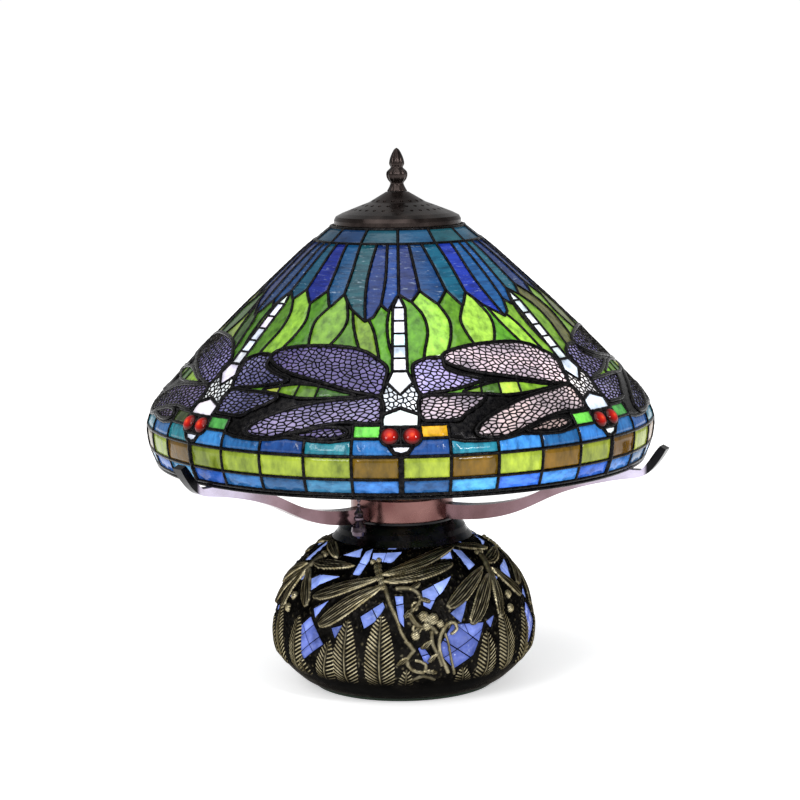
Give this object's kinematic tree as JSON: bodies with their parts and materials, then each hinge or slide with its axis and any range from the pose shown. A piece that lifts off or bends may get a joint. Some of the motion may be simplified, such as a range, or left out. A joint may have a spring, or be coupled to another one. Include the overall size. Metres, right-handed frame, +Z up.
{
  "type": "table lamp",
  "caption": "Leaded dragonfly-glass table lamp with a conical lift-off shade on three arms, pull-chain lamps and a lit cast base.",
  "frame": {"origin": "centre of the felt pad where the lamp stands on the table", "axes": "+Z up, the front of the lamp (the middle dragonfly) faces -Y, +X to the right seen from the front"},
  "size_m": [0.4119, 0.4284, 0.432],
  "materials": {
    "felt": "felt",
    "steel": "plain",
    "cast_bronze": "dark patina with rubbed bronze-gold relief",
    "mosaic_glass": "lit opalescent",
    "ceramic": "glazed",
    "brass": "satin",
    "frosted_glass": "frosted",
    "black_plastic": "moulded",
    "black_metal": "satin black",
    "copper": "reddish antique copper",
    "copper_arm": "antique copper, glossy",
    "lead": "black patina on solder",
    "crown_blue": "rippled opalescent",
    "leaf_blue": "rippled opalescent",
    "field_green": "streaky opalescent",
    "opal_white": "opal",
    "wing_purple": "streaky opalescent",
    "filigree": "black patina",
    "eye_red": "polished cabochon",
    "border_blue": "rippled opalescent",
    "border_amber": "streaky opalescent",
    "cap_bronze": "dark glossy bronze",
    "aluminium": "rolled thread",
    "drop_bronze": "dark bronze"
  },
  "bodies": {
    "stand": {"arm_left": "copper_arm", "arm_rear": "copper_arm", "arm_right": "copper_arm", "arm_screws": "steel", "base_mosaic": "mosaic_glass", "base_plate": "steel", "base_shell": "cast_bronze", "cluster_body": "brass", "collar": "copper", "collar_cover": "black_metal", "cord_bushing": "black_plastic", "felt_pad": "felt", "neck_ring": "black_metal", "night_bracket": "steel", "night_socket": "ceramic", "riser_nuts": "brass", "riser_tube": "steel", "rod_nut": "brass", "socket_core_front": "black_plastic", "socket_core_rear": "black_plastic", "socket_nipples": "steel", "socket_shell_front": "brass", "socket_shell_rear": "brass", "switch_housing_front": "brass", "switch_housing_rear": "brass", "upper_rod": "steel"},
    "shade": {"shade_ring": "brass", "rim_wire": "lead", "lead_rings": "lead", "shade_leads": "lead", "crown_glass": "crown_blue", "leaf_glass": "leaf_blue", "field_glass": "field_green", "dragonfly_body_glass": "opal_white", "dragonfly_wing_glass": "wing_purple", "wing_filigree": "filigree", "eye_cabochons": "eye_red", "border_upper_glass": "border_blue", "border_middle_glass": "border_amber", "border_lower_glass": "border_blue"},
    "cap": {"heat_cap": "cap_bronze"},
    "finial": {"finial": "cap_bronze"},
    "bulb_front": {"bulb_glass_front": "frosted_glass", "bulb_cap_front": "aluminium"},
    "bulb_rear": {"bulb_glass_rear": "frosted_glass", "bulb_cap_rear": "aluminium"},
    "pull_front": {"pull_chain_front": "drop_bronze", "pull_drop_front": "drop_bronze"},
    "pull_rear": {"pull_chain_rear": "drop_bronze", "pull_drop_rear": "drop_bronze"},
    "night_bulb": {"night_bulb_glass": "frosted_glass", "night_bulb_cap": "brass"}
  },
  "joints": [
    {"name": "shade_lift", "type": "slide", "parent": "stand", "child": "shade", "axis": [0, 0, 1], "range_m": [0, 0.26]},
    {"name": "cap_lift", "type": "slide", "parent": "shade", "child": "cap", "axis": [0, 0, 1], "range_m": [0, 0.06]},
    {"name": "finial_turn", "type": "hinge", "parent": "cap", "child": "finial", "pos_m": [0, 0, 0.4], "axis": [0, 0, 1], "continuous": true},
    {"name": "bulb_front_turn", "type": "hinge", "parent": "stand", "child": "bulb_front", "pos_m": [0, -0.1, 0.222], "axis": [0, -1, 0], "continuous": true},
    {"name": "bulb_rear_turn", "type": "hinge", "parent": "stand", "child": "bulb_rear", "pos_m": [0, 0.1, 0.222], "axis": [0, 1, 0], "continuous": true},
    {"name": "night_bulb_turn", "type": "hinge", "parent": "stand", "child": "night_bulb", "pos_m": [0.04, 0, 0.04], "axis": [0, 0, 1], "continuous": true},
    {"name": "pull_front_slide", "type": "slide", "parent": "stand", "child": "pull_front", "axis": [0, 0, -1], "range_m": [0, 0.006], "stiffness_N_per_m": 300, "springref_m": -0.002},
    {"name": "pull_rear_slide", "type": "slide", "parent": "stand", "child": "pull_rear", "axis": [0, 0, -1], "range_m": [0, 0.006], "stiffness_N_per_m": 300, "springref_m": -0.002}
  ]
}
